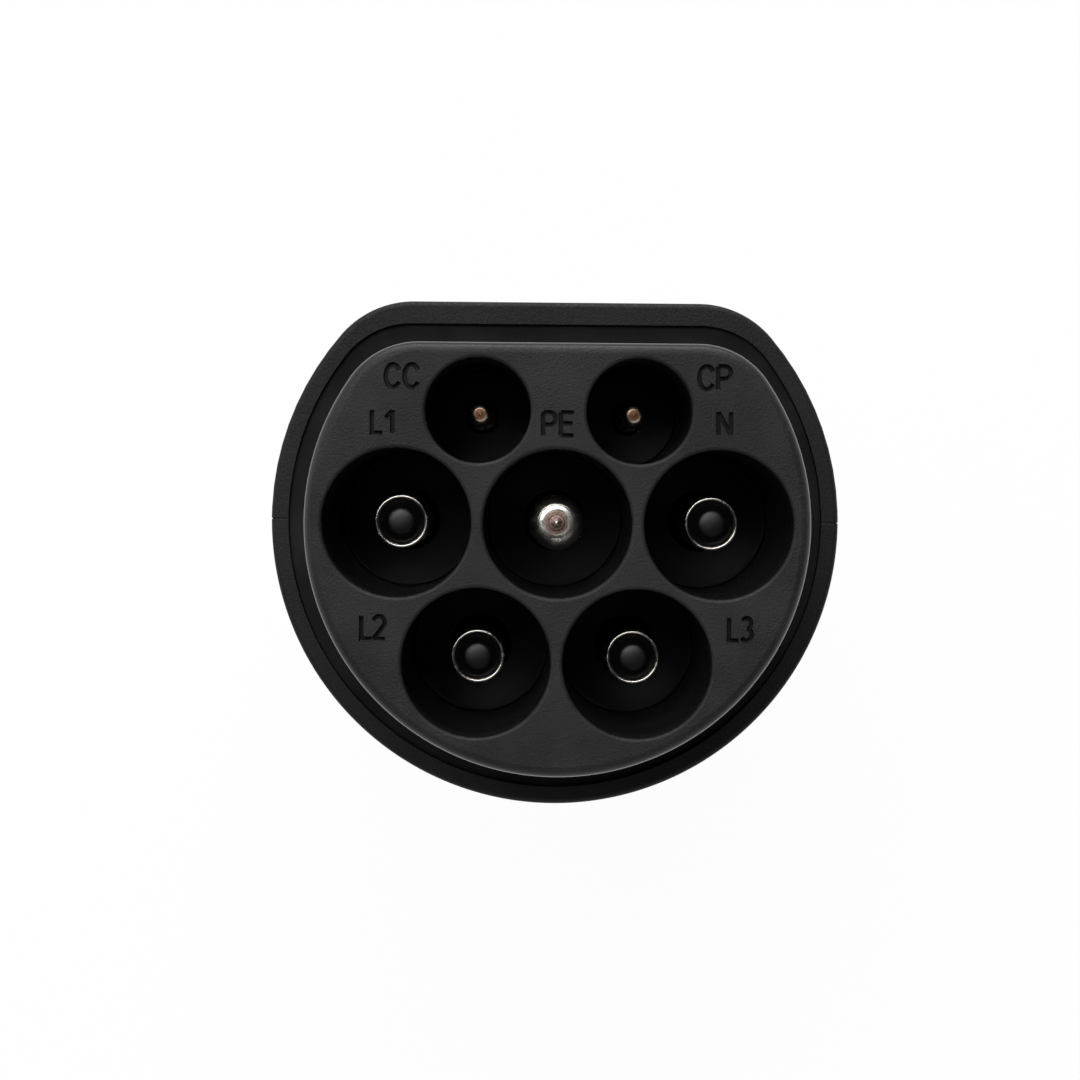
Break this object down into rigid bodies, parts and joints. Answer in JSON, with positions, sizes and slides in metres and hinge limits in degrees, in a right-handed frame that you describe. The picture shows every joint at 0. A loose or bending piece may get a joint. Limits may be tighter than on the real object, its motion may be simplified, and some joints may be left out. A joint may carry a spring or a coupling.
{
  "type": "electric vehicle charging adapter",
  "caption": "Straight AC charging adapter: a D-shaped plug with recessed pins at one end, a gripped waist in two half shells, and a collared pin inlet at the other end.",
  "frame": {"origin": "centre of the box's bottom, in the plane of the inlet's rim, which it stands on", "axes": "+Z along the plug's axis towards the plug's face, +Y towards the flat side, +X to the right of the picture"},
  "size_m": [0.068, 0.0604, 0.15],
  "materials": {
    "shell": "fine moulded grain, black",
    "insulator": "satin moulded, black",
    "guard": "satin moulded, black",
    "retainer": "moulded, black",
    "seal": "moulded, dull black",
    "wire": "extruded, black",
    "power_pin": "turned, silver-plated",
    "signal_pin": "turned, bright",
    "screw": "zinc-plated",
    "resistor": "lacquered"
  },
  "bodies": {
    "root": {"coding_resistor": "resistor", "inlet_base": "retainer", "inlet_collar": "shell", "inlet_insulator": "insulator", "inlet_pin_cp": "signal_pin", "inlet_pin_guard_l1": "guard", "inlet_pin_guard_l2": "guard", "inlet_pin_guard_l3": "guard", "inlet_pin_guard_n": "guard", "inlet_pin_l1": "power_pin", "inlet_pin_l2": "power_pin", "inlet_pin_l3": "power_pin", "inlet_pin_n": "power_pin", "inlet_pin_pe": "power_pin", "inlet_pin_pp": "signal_pin", "inlet_retainer": "retainer", "inlet_retainer_screws": "screw", "inlet_seal": "seal", "lower_shell": "shell", "plug_insulator": "insulator", "plug_pin_cc": "signal_pin", "plug_pin_cp": "signal_pin", "plug_pin_guard_l1": "guard", "plug_pin_guard_l2": "guard", "plug_pin_guard_l3": "guard", "plug_pin_guard_n": "guard", "plug_pin_l1": "power_pin", "plug_pin_l2": "power_pin", "plug_pin_l3": "power_pin", "plug_pin_n": "power_pin", "plug_pin_pe": "power_pin", "plug_retainer": "retainer", "plug_retainer_screws": "screw", "plug_seal": "seal", "shell_screws": "screw", "upper_shell": "shell", "wire_cp": "wire", "wire_l1": "wire", "wire_l2": "wire", "wire_l3": "wire", "wire_n": "wire", "wire_pe": "wire"}
  },
  "joints": []
}
